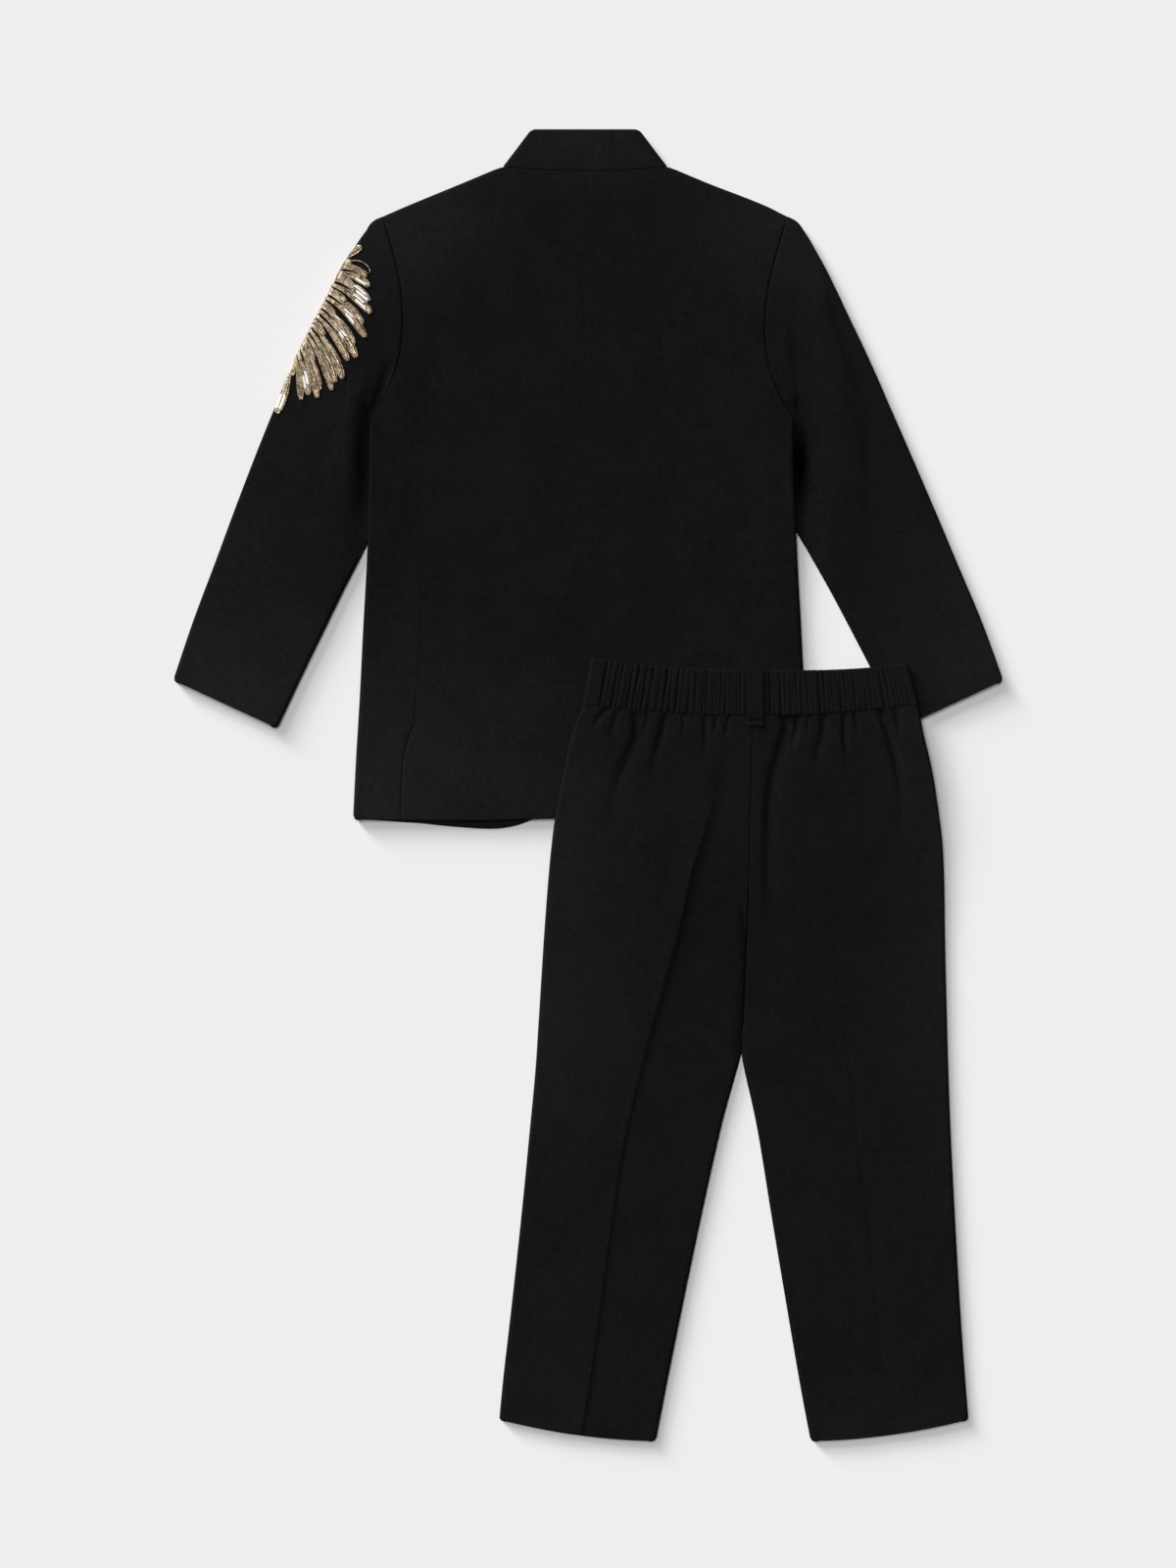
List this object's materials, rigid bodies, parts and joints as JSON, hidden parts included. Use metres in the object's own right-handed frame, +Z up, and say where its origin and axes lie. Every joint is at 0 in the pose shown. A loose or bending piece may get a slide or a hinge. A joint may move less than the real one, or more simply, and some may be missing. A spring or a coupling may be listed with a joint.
{
  "type": "child's jodhpuri suit laid out flat",
  "caption": "Black bandhgala jacket and gathered pull-on trousers for a child, laid flat with their backs up, with a gold leaf spray on one sleeve.",
  "frame": {"origin": "centre of the suit's footprint, on the surface that it lies on", "axes": "+Y from the trousers' hems to the jacket's collar, +Z up out of the surface, +X to the right when looking down on the backs"},
  "size_m": [0.6768, 1.069, 0.015],
  "materials": {
    "jacket_cloth": "matt black suiting with a fine linen-like weave",
    "trousers_cloth": "matt black suiting with a fine linen-like weave",
    "button_horn": "satin black, horn-like",
    "gold_embroidery": "antique gold beads, bugles and metal thread"
  },
  "bodies": {
    "root": {"jacket_back_left": "jacket_cloth", "jacket_side_left": "jacket_cloth", "jacket_front_left": "jacket_cloth", "jacket_sleeve_left": "jacket_cloth", "jacket_back_right": "jacket_cloth", "jacket_side_right": "jacket_cloth", "jacket_front_right": "jacket_cloth", "jacket_sleeve_right": "jacket_cloth", "jacket_collar": "jacket_cloth", "jacket_button_1": "button_horn", "jacket_button_2": "button_horn", "jacket_button_3": "button_horn", "jacket_button_4": "button_horn", "jacket_button_5": "button_horn", "trousers_back_left": "trousers_cloth", "trousers_front_left": "trousers_cloth", "trousers_back_right": "trousers_cloth", "trousers_front_right": "trousers_cloth", "trousers_waistband": "trousers_cloth", "trousers_belt_loop": "trousers_cloth"}
  },
  "joints": []
}
